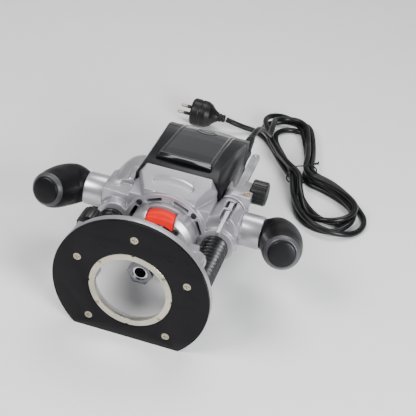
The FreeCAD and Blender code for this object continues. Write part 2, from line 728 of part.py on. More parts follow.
def make_rotor():
    shaft = new_body("armature_shaft")
    revolve(shaft, [
        ("0", "73"), ("7.4", "73"), ("7.4", "43"), ("9.6", "43"), ("9.6", "64"), ("shaft_radius + 2", "64"),
        ("shaft_radius + 2", "86"), ("shaft_radius", "86"), ("shaft_radius", "120"), ("shaft_slim", "120"),
        ("shaft_slim", "246"), ("shaft_top_radius", "246"), ("shaft_top_radius", "266"), ("0", "266")],
        "Y_Axis")
    # the cross hole that the lock pin enters
    bore(shaft, "XY_Plane", "0", "nose_low + 7", "2.7", "-12", "12")
    keep(shaft)
    turned_up("collet", [
        ("collet_radius", "33"), ("8.4", "33"), ("7.2", "45"), ("7.2", "71"), ("collet_radius", "71")])
    body = new_body("collet_nut")
    half = "12.5"
    corners = [(f"{half} / cos(30)", "0"), (f"{half} * tan(30)", half), (f"-{half} * tan(30)", half),
               (f"-{half} / cos(30)", "0"), (f"-{half} * tan(30)", f"-{half}"),
               (f"{half} * tan(30)", f"-{half}")]
    block(body, "XZ_Plane", corners, "collet_low", "collet_low + 24")
    bore(body, "XZ_Plane", "0", "0", "8.5", "collet_low", "collet_low + 24")
    bore(body, "XZ_Plane", "0", "0", "9.65", "collet_low + 6", "collet_low + 24")
    keep(body)
    turned_up("armature_core", ring_profile("shaft_slim", "22.6", "151", "205"))
    turned_up("armature_winding", ring_profile("shaft_slim", "19", "205.2", "219"))
    turned_up("commutator", ring_profile("shaft_slim", "14", "222", "243"))
    make_fan()


def make_fan():
    body = new_body("cooling_fan")
    revolve(body, ring_profile("shaft_slim", "39", "122", "124.5"), "Y_Axis")
    drum(body, "XZ_Plane", "0", "0", "12", "124.5", "134")
    bore(body, "XZ_Plane", "0", "0", "shaft_slim", "122", "134")
    blade = block(body, "XZ_Plane", rectangle("11", "-1", "37", "1"), "124.5", "134")
    pattern(body, blade, "Y_Axis", 11)
    keep(body)


# --- handles ---------------------------------------------------------------------------------

def handle_stations(side):
    """Centre, direction and radius along a handle, from its socket to its end."""
    level = number("handle_level")
    forward = number("handle_forward")
    grip = number("grip_radius")
    start = number("socket_outer") + number("free_gap")
    return [
        (V(side * start, level, forward), V(side, 0, 0), 17.5),
        (V(side * (start + 6), level + 0.3, forward), V(side, 0, 0), grip - 3),
        (V(side * (start + 18), level - 3, forward + 1), V(side * 0.75, -0.62, 0.2), grip + 0.2),
        (V(side * (start + 25), level - 16, forward + 6), V(side * 0.25, -0.92, 0.3), grip),
        (V(side * (start + 28), level - 33, forward + 11.5), V(side * 0.16, -0.94, 0.31), grip - 1.8),
        (V(side * (start + 30), level - 45, forward + 15.5), V(side * 0.16, -0.94, 0.31), grip - 4.8),
    ]


def circle_wire(centre, direction, radius):
    """A circle whose seam is always at its top, so that lofts don't twist."""
    facing = V(direction).normalize()
    top = (ALONG_Z - facing * facing.dot(ALONG_Z)).normalize()
    circle = Part.makeCircle(radius)
    circle.Placement = FreeCAD.Placement(centre, FreeCAD.Rotation(top, facing.cross(top), facing, "ZXY"))
    return Part.Wire([circle])


def make_handle(label, side):
    turned_across(f"handle_socket_{label}", ring_sides(side), "handle_level", "handle_forward")
    stations = handle_stations(side)
    grip = Part.makeLoft([circle_wire(*station) for station in stations], True, True)
    centre, direction, radius = stations[-1]
    direction = V(direction).normalize()
    bolt_hole = Part.makeCylinder(5.05, 30, stations[0][0] - V(side * 0.5, 0, 0), V(side, 0, 0))
    shaped(f"handle_grip_{label}", grip.cut(bolt_hole))
    band_start = centre + direction * 0.05
    band = Part.makeCone(radius, radius - 2.8, 4.5, band_start, direction)
    cap_start = band_start + direction * 4.55
    cap = Part.makeCone(radius - 3, radius - 5, 3, cap_start, direction)
    shaped(f"handle_cap_{label}", cap)
    bolt = Part.makeCylinder(5, 44, V(side * 88, number("handle_level"), number("handle_forward")),
                             V(side, 0, 0))
    return band, bolt


def make_handles():
    made = [make_handle(label, side) for label, side in sides()]
    shaped("handle_bands", Part.makeCompound([band for band, _ in made]))
    shaped("handle_bolts", Part.makeCompound([bolt for _, bolt in made]))


def ring_sides(side):
    inner = mirror_x("socket_inner", side)
    outer = mirror_x("socket_outer", side)
    chamfer = mirror_x("socket_outer - 1", side)
    return [(inner, "5.05"), (inner, "socket_radius"), (chamfer, "socket_radius"),
            (outer, "socket_radius - 1"),
            (outer, "5.05")]


# --- depth stop ------------------------------------------------------------------------------

def make_depth_stop():
    rod = new_body("depth_rod")
    block(rod, "XY_Plane", rectangle("rod_left", "rod_shoulder", "rod_right", "rod_high"), "rod_back",
          "rod_front")
    block(rod, "XY_Plane", rectangle("rod_across - rod_slim / 2", "rod_low", "rod_across + rod_slim / 2",
                                     "rod_shoulder + 1"), "rod_back", "rod_front")
    drum(rod, "XY_Plane", "rod_across", "rod_high", "rod_width / 2", "rod_back", "rod_front")
    bore(rod, "XY_Plane", "rod_across", "rod_high", "1.8", "rod_front - 1.2", "rod_front")
    keep(rod)

    # a round neck in front of the tower, and a web that carries the clamp and the tension screw
    guide = new_body("depth_guide")
    drum(guide, "XZ_Plane", "59.4", "30", "8.6", "155.2", "173")
    block(guide, "XY_Plane", [
        ("60", "155.2"), ("81.8", "155.2"), ("81.8", "168.6"), ("77", "169.6"), ("77", "178"),
        ("62", "178")],
        "27", "41.5")
    block(guide, "XY_Plane", rectangle("rod_right - 1", "177", "76", "192"), "28", "39")
    notch(guide, "XY_Plane", rectangle("50", "155", "70", "174"), "20", "27")
    notch(guide, "XZ_Plane", rectangle("rod_left - 0.25", "rod_back - 0.25", "rod_right + 0.25",
                                       "rod_front + 0.25"),
          "130", "200")
    bore(guide, "YZ_Plane", "knob_level", "rod_forward", "3.1", "rod_right", "90")
    bore(guide, "XY_Plane", "76.4", "163", "4", "36", "44")
    keep(guide)
    turned_z("guide_tension_screw", "76.4", "163",
             [("0", "36.2"), ("3.8", "36.2"), ("3.8", "39.4"), ("0", "39.4")])

    knob = new_body("depth_clamp_knob", "0", "knob_level", "rod_forward")
    revolve(knob, [
        ("rod_right + 0.35", "0"), ("rod_right + 0.35", "3"), ("knob_inner", "3"),
        ("knob_inner", "knob_radius - 1"),
        ("knob_inner + 1", "knob_radius"), ("knob_outer - 1.5", "knob_radius"),
        ("knob_outer", "knob_radius - 1.5"),
        ("knob_outer", "0")], "X_Axis")
    flute = bore(knob, "YZ_Plane", "knob_radius + 0.7", "0", "1.5", "knob_inner - 1", "knob_outer + 1")
    pattern(knob, flute, "X_Axis", 16)
    keep(knob)


def turned_z(label, x, y, corners):
    """A round piece about a line along Z; corners are (radius, z) of a plain stepped profile."""
    body = new_body(label, x, y)
    radius = corners[1][0]
    drum(body, "XY_Plane", "0", "0", radius, corners[1][1], corners[2][1])
    notch(body, "XY_Plane", rectangle(f"-{radius} - 1", "-0.6", f"{radius} + 1", "0.6"),
          f"{corners[2][1]} - 1.2", f"{corners[2][1]} + 1")
    return keep(body)


# --- controls --------------------------------------------------------------------------------

def make_lock_button():
    """The spindle lock: a wide arched button in front of the bearing boss, with its pin."""
    body = new_body("spindle_lock_button")
    low = "nose_low - 1"
    step = "nose_low + 1"
    high = "bearing_low - 1"
    half = "button_half_width"
    block(body, "XZ_Plane", rectangle(f"-{half}", "20", half, "35"), low, high)
    block(body, "XZ_Plane", [(f"-{half}", "34"), (half, "34"), (half, "36"), ("9", "39"), ("-9", "39"),
                             (f"-{half}", "36")], step, high)
    bore(body, "XZ_Plane", "0", "0", "button_inner_radius", f"{low} - 1", f"{high} + 1")
    keep(body)
    pin = new_body("spindle_lock_pin")
    drum(pin, "XY_Plane", "0", "nose_low + 7", "2.4", "11.5", "button_inner_radius - 0.12")
    keep(pin)
    centre = V(0, number("nose_low + 7"), number("window_floor") + 0.5)
    shaped("lock_spring", coil(centre, ALONG_Z, 3.8, 0.5, 2.4, 9.3))


def make_lock_lever():
    """The plunge lock: a lever behind the left tower."""
    body = new_body("plunge_lock_lever", "-column_offset", "140", "0")
    drum(body, "XY_Plane", "0", "0", "9", "-27", "-20.4")
    block(body, "XY_Plane", [("-4", "7"), ("-34", "20"), ("-41", "16"), ("-38", "8"), ("-6", "-7"),
                             ("6", "-5")],
          "-27", "-21.5")
    bore(body, "XY_Plane", "0", "0", "3.05", "-30", "-20")
    keep(body)
    pivot = new_body("lock_lever_screw", "-column_offset", "140", "0")
    drum(pivot, "XY_Plane", "0", "0", "3", "-27.5", "-tower_radius - running_gap")
    drum(pivot, "XY_Plane", "0", "0", "6", "-30.5", "-27.4")
    keep(pivot)


def make_switch_and_dial():
    rocker = new_body("power_switch")
    block(rocker, "XY_Plane", [("-44", "212.5"), ("-48.5", "211.6"), ("-52", "213"), ("-49.6", "225"),
                               ("-52", "237"), ("-48.5", "238.4"), ("-44", "237.5")], "4", "19")
    keep(rocker)
    dial = new_body("speed_dial", "39", "276", "0")
    drum(dial, "XY_Plane", "0", "0", "11", "-3", "3")
    knurl = bore(dial, "XY_Plane", "11.6", "0", "1.2", "-4", "4")
    pattern(dial, knurl, "Z_Axis", 20)
    keep(dial)


# --- cord ------------------------------------------------------------------------------------

def floor_level():
    return number("cord_radius - axis_height") + 0.1


def smooth_path(points):
    """Straight runs joined by tangent arcs as large as the runs allow."""
    edges = []
    radii = []
    start = points[0]
    for index in range(1, len(points) - 1):
        corner = points[index]
        before = corner - points[index - 1]
        after = points[index + 1] - corner
        turn = before.getAngle(after)
        shorter = min(before.Length, after.Length)
        radius = 0.45 * shorter / math.tan(turn / 2)
        into = V(before).normalize()
        out = V(after).normalize()
        arc_start = corner - into * (0.45 * shorter)
        arc_end = corner + out * (0.45 * shorter)
        inward = (out - into).normalize()
        middle = corner + inward * (radius / math.cos(turn / 2) - radius)
        edges.append(Part.LineSegment(start, arc_start).toShape())
        edges.append(Part.Arc(arc_start, middle, arc_end).toShape())
        radii.append(round(radius, 1))
        start = arc_end
    edges.append(Part.LineSegment(start, points[-1]).toShape())
    return Part.Wire(edges), radii


def cord_tube(label, points):
    path, radii = smooth_path(points)
    radius = number("cord_radius")
    section = circle_wire(points[0], points[1] - points[0], radius)
    tube = path.makePipeShell([section], True, False)
    expected = math.pi * radius ** 2 * path.Length
    print(label, "length", round(path.Length, 1), "radii", radii, "volume ratio",
          round(tube.Volume / expected, 4))
    return shaped(label, tube)


def make_cord():
    across = number("cord_exit_across")
    forward = number("cord_exit_forward")
    start = number("overall_length + relief_length")
    low = floor_level()
    body = new_body("strain_relief", "cord_exit_across", "0", "cord_exit_forward")
    revolve(body, [
        ("0", "overall_length - 6"), ("6", "overall_length - 6"), ("6", "overall_length + 0.2"),
        ("9", "overall_length + 0.2"), ("9", "overall_length + 4"), ("7.6", "overall_length + 5"),
        ("5.2", "overall_length + relief_length"), ("0", "overall_length + relief_length")], "Y_Axis")
    keep(body)
    cord_tube("cord", [
        V(across, start, forward), V(across + 1, start + 20, forward - 1),
        V(across + 3, start + 42, forward - 9),
        V(across + 6, start + 64, forward - 26), V(across + 8, start + 84, forward - 46),
        V(across + 7, start + 107, low + 4), V(across + 4, start + 130, low)])
    hank = new_body("cord_hank")
    outline = [(30, 478), (34, 512), (56, 531), (86, 514), (99, 470), (128, 388), (204, 338), (212, 302),
               (196, 276), (160, 262), (138, 264), (116, 302), (84, 380), (48, 444)]
    block(hank, "XY_Plane", [(str(x), str(y)) for x, y in outline], "-axis_height + 0.1",
          "-axis_height + 20")
    keep(hank)
    # the twist tie: a strip over the middle of the coil, down to the floor on both sides
    height = number("axis_height")
    coil_shape = Part.makePolygon([V(x, y, 0.1 - height) for x, y in outline + outline[:1]])
    coil_shape = Part.Face(coil_shape).extrude(V(0, 0, 19.9))
    strip = Part.makeBox(50, 4, 21, V(-25, -2, 0.1 - height))
    strip.Placement = FreeCAD.Placement(V(111.9, 373.3, 0), FreeCAD.Rotation(ALONG_Z, 30.7))
    shaped("cord_tie", strip.cut(coil_shape))


def make_plug():
    """A moulded round plug with two pins, lying beside the hank behind the motor."""
    body = new_body("plug", "0", "455", "-axis_height + 19.1")
    revolve(body, [
        ("-20", "0"), ("-20", "5.5"), ("-34", "8.5"), ("-40", "15"), ("-46", "18.5"), ("-66", "19"),
        ("-68", "17.5"), ("-68", "0")], "X_Axis")
    for end in ("", "-"):
        drum(body, "YZ_Plane", f"{end}9.5", "0", "2.4", "-87", "-67")
    keep(body)
    low = floor_level()
    cord_tube("cord_tail", [
        V(40, 476, low), V(22, 470, low + 0.5), V(7, 461, low + 5), V(-7, 455.6, low + 13),
        V(-20, 455, -42.9)])


for part_maker in (make_base_casting, make_sole, make_bush_ring, make_turret):
    part_maker()
for label, side in sides():
    make_column(label, side)
    make_bellows(label, side)
make_plunge_springs()
make_guide_clamp("left", -1, "")
make_guide_clamp("right", 1, "-")
make_carriage()
make_nose()
make_bearing_and_bush()
round_screws("housing_screws", on_circle(29, number("nose_low"), NOSE_SCREW_ANGLES)
             + on_circle(44.2, number("tower_low"), FLANGE_SCREW_ANGLES), 3.3, 2.2, 2, 7, ALONG_Y)
make_motor_shell()
make_end_cap()
make_front_cover()
make_motor_inside()
make_rotor()
make_handles()
make_depth_stop()
make_lock_button()
make_lock_lever()
make_switch_and_dial()
make_cord()
make_plug()

doc.recompute()
failed = [item.Name for item in doc.Objects if {"Invalid", "Error"} & set(item.State)]
assert not failed, failed
for piece in PIECES:
    assert not piece.Shape.isNull() and piece.Shape.isValid(), piece.Label
    piece.Shape.exportStep(f"parts/{piece.Label}.step")
print(len(PIECES), "sub-parts")
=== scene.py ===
import json
import math
import random

import bmesh
import bpy
from mathutils import Matrix, Vector


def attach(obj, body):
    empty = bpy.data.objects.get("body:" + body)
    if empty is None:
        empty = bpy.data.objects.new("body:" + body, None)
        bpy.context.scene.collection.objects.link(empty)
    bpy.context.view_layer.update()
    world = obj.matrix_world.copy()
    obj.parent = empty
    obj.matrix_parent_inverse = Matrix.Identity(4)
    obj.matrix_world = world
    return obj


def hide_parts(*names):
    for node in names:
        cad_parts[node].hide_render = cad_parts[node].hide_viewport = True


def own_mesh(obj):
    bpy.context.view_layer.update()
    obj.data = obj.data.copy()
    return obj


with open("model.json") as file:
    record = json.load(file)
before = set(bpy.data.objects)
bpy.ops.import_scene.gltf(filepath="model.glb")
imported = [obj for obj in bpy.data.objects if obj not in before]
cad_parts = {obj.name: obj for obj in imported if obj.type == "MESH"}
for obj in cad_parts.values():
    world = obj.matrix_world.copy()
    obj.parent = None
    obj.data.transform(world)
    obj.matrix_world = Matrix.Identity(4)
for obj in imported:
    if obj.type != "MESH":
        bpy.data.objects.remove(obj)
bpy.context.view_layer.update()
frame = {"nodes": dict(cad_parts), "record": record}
random.seed(11)


# --- frame helpers ---------------------------------------------------------------------------
# Layout sizes are in millimetres from the spindle axis and the sole's face; at() gives metres.
# The frame's origin is half-way along the spindle (SEAT_Y), on the ground SEAT_Z below the axis.
SEAT_Y, SEAT_Z = 147.5, 62


def at(x, y, z):
    return Vector((x / 1000, (y - SEAT_Y) / 1000, (z + SEAT_Z) / 1000))


def add(obj):
    bpy.context.scene.collection.objects.link(obj)
    return obj


# --- camera ----------------------------------------------------------------------------------

EYE = Vector((0.2342, -0.9322, 0.7474))
EYE_UP = Vector((-0.223292, 0.393817, 0.891656))
AIM = at(26, 205, -20)

camera = add(bpy.data.objects.new("camera", bpy.data.cameras.new("camera")))
back = (EYE - AIM).normalized()
right = EYE_UP.cross(back).normalized()
up = back.cross(right)
camera.matrix_world = Matrix((
    (right.x, up.x, back.x, EYE.x),
    (right.y, up.y, back.y, EYE.y),
    (right.z, up.z, back.z, EYE.z),
    (0, 0, 0, 1)))
camera.data.sensor_width = 36
camera.data.lens = 90
camera.data.clip_start = 0.05
bpy.context.scene.camera = camera


# --- materials -------------------------------------------------------------------------------

def surface(name, color, rough, metal=0.0, grain=900.0, bump=0.04, spread=0.12, tint=0.08, coat=0.0,
            stretch=(1, 1, 1), specular=0.5):
    """A finish with fine grain in its bump, blotches in its roughness and a slight drift of colour."""
    material = bpy.data.materials.new(name)
    material.use_nodes = True
    nodes = material.node_tree.nodes
    links = material.node_tree.links
    shader = nodes["Principled BSDF"]
    shader.inputs["Metallic"].default_value = metal
    shader.inputs["Coat Weight"].default_value = coat
    shader.inputs["Coat Roughness"].default_value = 0.12
    shader.inputs["Specular IOR Level"].default_value = specular
    place = nodes.new("ShaderNodeTexCoord")
    mapping = nodes.new("ShaderNodeMapping")
    mapping.inputs["Scale"].default_value = stretch
    links.new(place.outputs["Object"], mapping.inputs["Vector"])

    def noise(scale, detail):
        node = nodes.new("ShaderNodeTexNoise")
        node.inputs["Scale"].default_value = scale
        node.inputs["Detail"].default_value = detail
        links.new(mapping.outputs["Vector"], node.inputs["Vector"])
        return node

    def spread_over(source, low, high):
        node = nodes.new("ShaderNodeMapRange")
        node.inputs["From Min"].default_value = 0.3
        node.inputs["From Max"].default_value = 0.7
        node.inputs["To Min"].default_value = low
        node.inputs["To Max"].default_value = high
        links.new(source, node.inputs["Value"])
        return node

    fine = noise(grain, 4)
    blotch = noise(38, 5)
    roughness = spread_over(blotch.outputs["Fac"], max(0.03, rough - spread / 2), min(1, rough + spread / 2))
    links.new(roughness.outputs["Result"], shader.inputs["Roughness"])
    mix = nodes.new("ShaderNodeMix")
    mix.data_type = "RGBA"
    dark = [c * (1 - tint) for c in color]
    light = [min(1, c * (1 + tint)) for c in color]
    mix.inputs[6].default_value = (*dark, 1)
    mix.inputs[7].default_value = (*light, 1)
    drift = spread_over(blotch.outputs["Fac"], 0, 1)
    links.new(drift.outputs["Result"], mix.inputs[0])
    links.new(mix.outputs[2], shader.inputs["Base Color"])
    relief = nodes.new("ShaderNodeBump")
    relief.inputs["Strength"].default_value = bump
    relief.inputs["Distance"].default_value = 0.0004
    links.new(fine.outputs["Fac"], relief.inputs["Height"])
    links.new(relief.outputs["Normal"], shader.inputs["Normal"])
    return material


FINISH = {
    "cast": surface("cast", (0.36, 0.35, 0.38), 0.33, 0.55, 1300, 0.22, 0.12, 0.05, coat=0.2),
    "sole": surface("sole", (0.006, 0.0055, 0.0065), 0.34, 0, 1800, 0.2, 0.14, 0.15, specular=0.1),
    "ring": surface("ring", (0.50, 0.47, 0.38), 0.34, 0.85, 1500, 0.1, 0.2, 0.15),
    "screw": surface("screw", (0.40, 0.36, 0.28), 0.34, 0.95, 1500, 0.05, 0.12, 0.15),
    "black_screw": surface("black_screw", (0.018, 0.018, 0.02), 0.38, 0.4, 1500, 0.05),
    "steel": surface("steel", (0.60, 0.60, 0.62), 0.22, 1.0, 700, 0.03, 0.1, 0.05, stretch=(1, 0.05, 1)),
    "nut": surface("nut", (0.16, 0.16, 0.18), 0.34, 0.9, 900, 0.06, 0.15, 0.15),
    "rod": surface("rod", (0.42, 0.42, 0.44), 0.4, 0.9, 420, 0.3, 0.25, 0.3),
    "spring": surface("spring", (0.3, 0.3, 0.31), 0.3, 1.0, 900, 0.04),
    "bellows": surface("bellows", (0.004, 0.004, 0.0045), 0.26, 0, 1100, 0.08, 0.12, specular=0.45),
    "bronze": surface("bronze", (0.45, 0.30, 0.14), 0.4, 1.0, 900, 0.1),
    "brass": surface("brass", (0.68, 0.43, 0.13), 0.28, 1.0, 900, 0.04),
    "black_gloss": surface("black_gloss", (0.003, 0.0036, 0.0046), 0.13, 0, 600, 0.015, 0.06, 0.1, coat=0.55,
                           specular=0.3),
    "black_plastic": surface("black_plastic", (0.004, 0.004, 0.005), 0.36, 0, 1500, 0.25, 0.14,
                             specular=0.25),
    "knob": surface("knob", (0.0085, 0.0085, 0.009), 0.3, 0, 1500, 0.15, 0.12, specular=0.4),
    "grip": surface("grip", (0.005, 0.0045, 0.0055), 0.4, 0, 1700, 0.3, 0.12, specular=0.15),
    "band": surface("band", (0.06, 0.06, 0.066), 0.36, 0.1, 1500, 0.08, 0.1),
    "socket": surface("socket", (0.52, 0.51, 0.54), 0.3, 0.75, 900, 0.06, 0.1, 0.04, stretch=(0.1, 1, 1)),
    "red": surface("red", (0.72, 0.008, 0.005), 0.36, 0, 1000, 0.05, 0.08, 0.05, specular=0.12),
    "lamination": surface("lamination", (0.22, 0.21, 0.21), 0.45, 0.9, 500, 0.3, stretch=(1, 6, 1)),
    "copper": surface("copper", (0.55, 0.22, 0.08), 0.35, 0.95, 500, 0.3, stretch=(1, 4, 1)),
    "carbon": surface("carbon", (0.02, 0.02, 0.02), 0.7, 0, 900, 0.3),
    "fan": surface("fan", (0.06, 0.06, 0.065), 0.5, 0, 900, 0.1),
    "cord": surface("cord", (0.005, 0.005, 0.0055), 0.32, 0, 700, 0.06, 0.14, specular=0.3),
    "plug": surface("plug", (0.005, 0.005, 0.0055), 0.4, 0, 1400, 0.2, 0.12, specular=0.3),
}
SLOT_OF = {part["node"]: part["material_slot"] for part in frame["record"]["subparts"]}
BODY_OF = {
    node: body
    for body, nodes in frame["record"]["behaviour"]["bodies"].items()
    for node in nodes
}
for node, obj in frame["nodes"].items():
    for index in range(len(obj.data.materials)):
        obj.data.materials[index] = FINISH[SLOT_OF[node]]


# --- mesh helpers ----------------------------------------------------------------------------

def smooth(mesh, degrees=32):
    """Smooth shading that keeps every edge sharper than the angle."""
    made = bmesh.new()
    made.from_mesh(mesh)
    for face in made.faces:
        face.smooth = True
    for edge in made.edges:
        if len(edge.link_faces) == 2:
            edge.smooth = edge.calc_face_angle(0) < math.radians(degrees)
    made.to_mesh(mesh)
    made.free()


def piece(name, verts, faces, finish, body):
    mesh = bpy.data.meshes.new(name)
    mesh.from_pydata([tuple(v) for v in verts], [], faces)
    mesh.validate()
    made = bmesh.new()
    made.from_mesh(mesh)
    bmesh.ops.recalc_face_normals(made, faces=made.faces)
    made.to_mesh(mesh)
    made.free()
    smooth(mesh)
    mesh.materials.append(FINISH[finish])
    obj = add(bpy.data.objects.new(name, mesh))
    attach(obj, body)
    return obj


def bake(obj):
    """Turn the object's modifiers into its mesh."""
    bpy.context.view_layer.update()
    done = bpy.data.meshes.new_from_object(obj.evaluated_get(bpy.context.evaluated_depsgraph_get()))
    obj.modifiers.clear()
    obj.data = done
    return obj


def cut_boxes(obj, boxes):
    """Take boxes, each (centre, size, turn about Z in degrees) in mm, out of the object's mesh."""
    made = bmesh.new()
    for centre, size, turn in boxes:
        shape = (Matrix.Translation(at(*centre)) @ Matrix.Rotation(math.radians(turn), 4, "Z")
                 @ Matrix.Diagonal((size[0] / 1000, size[1] / 1000, size[2] / 1000, 1)))
        bmesh.ops.create_cube(made, size=1, matrix=shape)
    mesh = bpy.data.meshes.new("cutter")
    made.to_mesh(mesh)
    made.free()
    cutter = add(bpy.data.objects.new("cutter", mesh))
    cut = obj.modifiers.new("cut", "BOOLEAN")
    cut.operation = "DIFFERENCE"
    cut.object = cutter
    cut.solver = "EXACT"
    bake(obj)
    bpy.data.objects.remove(cutter)


def softened(node, width, segments=3, finish=None, degrees=28, replace=True, cuts=()):
    """A copy of a CAD part with rounded edges, standing for it."""
    mesh = frame["nodes"][node].data.copy()
    made = bmesh.new()
    made.from_mesh(mesh)
    bmesh.ops.remove_doubles(made, verts=made.verts, dist=0.000004)
    bmesh.ops.dissolve_limit(made, angle_limit=math.radians(0.8), verts=made.verts, edges=made.edges)
    made.to_mesh(mesh)
    made.free()
    obj = add(bpy.data.objects.new(node + "_look", mesh))
    if cuts:
        cut_boxes(obj, cuts)
    bevel = obj.modifiers.new("edge", "BEVEL")
    bevel.width = width / 1000
    bevel.segments = segments
    bevel.limit_method = "ANGLE"
    bevel.angle_limit = math.radians(degrees)
    bevel.use_clamp_overlap = True
    bevel.harden_normals = False
    bake(obj)
    smooth(obj.data, 40)
    obj.data.materials.clear()
    obj.data.materials.append(FINISH[finish or SLOT_OF[node]])
    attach(obj, BODY_OF[node])
    if replace:
        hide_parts(node)
    return obj


def frame_along(direction):
    forward = Vector(direction).normalized()
    steep = abs(forward.z) > 0.95
    side = (forward.orthogonal() if steep else forward.cross(Vector((0, 0, 1)))).normalized()
    return side, forward.cross(side)


def lathe(name, base, direction, profile, finish, body, steps=64):
    """A turned piece: profile is (distance along, radius) in mm from base along direction."""
    side, other = frame_along(direction)
    forward = Vector(direction).normalized()
    verts = []
    for along, radius in profile:
        for step in range(steps):
            turn = 2 * math.pi * step / steps
            spoke = side * math.cos(turn) + other * math.sin(turn)
            verts.append(base + (forward * along + spoke * max(radius, 0.001)) / 1000)
    faces = []
    for row in range(len(profile) - 1):
        for step in range(steps):
            a = row * steps + step
            b = row * steps + (step + 1) % steps
            faces.append((a, b, b + steps, a + steps))
    faces.append(tuple(range(steps)))
    faces.append(tuple(reversed(range((len(profile) - 1) * steps, len(profile) * steps))))
    return piece(name, verts, faces, finish, body)


def rounded(corners, radius, steps=4):
    """A profile with each inner corner turned into an arc."""
    points = [Vector((*corners[0], 0))]
    for index in range(1, len(corners) - 1):
        corner = Vector((*corners[index], 0))
        before = Vector((*corners[index - 1], 0)) - corner
        after = Vector((*corners[index + 1], 0)) - corner
        reach = min(radius, before.length * 0.45, after.length * 0.45)
        start = corner + before.normalized() * reach
        end = corner + after.normalized() * reach
        for step in range(steps + 1):
            t = step / steps
            points.append(start * (1 - t) ** 2 + corner * 2 * t * (1 - t) + end * t ** 2)
    points.append(Vector((*corners[-1], 0)))
    return [(point.x, point.y) for point in points]


# --- cord ------------------------------------------------------------------------------------

CORD = 7.5
LOW = CORD / 2 - 62 + 0.1
TIE = Vector((108, 371))
A_AXIS = Vector((-0.356, 0.934))
B_AXIS = Vector((0.667, -0.745))


def lobe_point(axis, turned, along, across):
    """A point of the hank: along one lobe's axis from the tie, and across it to the north-east."""
    side = Vector((-axis.y, axis.x)) * turned
    return TIE + axis * along + side * across


def lobe(axis, turned, reach, half, tie_in, tie_out, lean):
    """Out along one side of a lobe, round its end and back: a list of plan points."""
    straight = reach - half
    points = []
    for share in (0.12, 0.4, 0.72):
        across = tie_in + (half - tie_in) * math.sin(share * math.pi / 2) + lean * share
        points.append(lobe_point(axis, turned, straight * share, across))
    for step in range(7):
        turn = math.pi * step / 6
        points.append(lobe_point(axis, turned, straight + half * math.sin(turn),
                                 half * math.cos(turn) + lean))
    for share in (0.72, 0.4, 0.12):
        across = tie_out - (half + tie_out) * math.sin(share * math.pi / 2) + lean * share
        points.append(lobe_point(axis, turned, straight * share, across))
    return points


def plan_of_hank():
    """The coil's plan from where the lead reaches it: four turns round both lobes, then out."""
    turns = [
        # half width and reach of each lobe, place at the tie and lean
        (24, 138, 30, 106, 5.0, 2), (33, 156, 41, 124, 13.5, 1), (27, 147, 35, 113, 8.5, -6),
        (25, 130, 26, 98, 4.2, 7)]
    points = []
    for index, (a_half, a_reach, b_half, b_reach, at_tie, lean) in enumerate(turns):
        out_a = lobe(A_AXIS, -1, a_reach, a_half, at_tie, -at_tie, lean)
        out_a.reverse()
        points += out_a[3:] if index == 0 else out_a
        points += lobe(B_AXIS, 1, b_reach, b_half, at_tie, -at_tie, lean)
    return points + [Vector(p) for p in ((88, 386), (70, 412), (52, 440), (36, 459))]


def settle(plan):
    """Heights for a plan laid down from its far end: each stretch rests on what it crosses."""
    count = len(plan)
    heights = [LOW] * count
    for index in range(count - 1, -1, -1):
        rest = LOW
        for other in range(index + 9, count):
            apart = (plan[index] - plan[other]).length
            if apart < CORD:
                rest = max(rest, heights[other] + math.sqrt(CORD ** 2 - apart ** 2))
        heights[index] = rest
        # the cord is stiff, so a raised point lifts its neighbours
        for step in range(1, 9):
            if index + step < count:
                heights[index + step] = max(heights[index + step], rest - step * step * 0.13)
    for index in range(1, count):
        for step in range(1, 9):
            if index + step < count:
                heights[index] = max(heights[index], heights[index + step] - step * step * 0.13)
    return heights


def resample(points, gap):
    """Catmull-Rom through plan points, then even steps along it."""
    dense = []
    padded = [points[0] * 2 - points[1]] + points + [points[-1] * 2 - points[-2]]
    for index in range(1, len(padded) - 2):
        p0, p1, p2, p3 = padded[index - 1:index + 3]
        for step in range(12):
            t = step / 12
            dense.append(0.5 * ((2 * p1) + (p2 - p0) * t + (2 * p0 - 5 * p1 + 4 * p2 - p3) * t * t
                                + (3 * p1 - p0 - 3 * p2 + p3) * t ** 3))
    dense.append(points[-1])
    even = [dense[0]]
    carried = 0.0
    for before, after in zip(dense, dense[1:]):
        step = (after - before).length
        while carried + step >= gap:
            share = (gap - carried) / step
            before = before.lerp(after, share)
            step = (after - before).length
            even.append(before.copy())
            carried = 0.0
        carried += step
    return even


LEAD = [(42, 337, 10), (43, 357, 9), (45, 379, 1), (48, 401, -16), (50, 421, -34), (49, 444, -50)]
TAIL = [(21, 466.5, -57), (7, 462, -53), (-7, 456, -46), (-20, 455, -42.9)]


def guided(point, guides):
    """The height of a plan point beside guide points that have one."""
    flat = [Vector(g[:2]) for g in guides]
    near = min(range(len(flat) - 1), key=lambda k: (point - flat[k]).length + (point - flat[k + 1]).length)
    run = flat[near + 1] - flat[near]
    share = min(1, max(0, (point - flat[near]).dot(run) / run.length_squared))
    return guides[near][2] * (1 - share) + guides[near + 1][2] * share


def cord_points():
    lead = [Vector(p[:2]) for p in LEAD]
    tail = [Vector(p[:2]) for p in TAIL]
    plan = resample(lead + plan_of_hank() + tail, 6.0)
    heights = settle(plan)
    lead_count = int(sum((b - a).length for a, b in zip(lead, lead[1:])) / 6.0)
    for index in range(lead_count + 1):
        heights[index] = max(heights[index], guided(plan[index], LEAD))
    for index in range(len(plan) - 9, len(plan)):
        heights[index] = max(LOW, guided(plan[index], TAIL))
    for _ in range(2):
        heights = [heights[0]] + [
            max(LOW, (heights[k - 1] + 2 * heights[k] + heights[k + 1]) / 4)
            for k in range(1, len(heights) - 1)
        ] + [heights[-1]]
    return [at(p.x, p.y, z) for p, z in zip(plan, heights)]


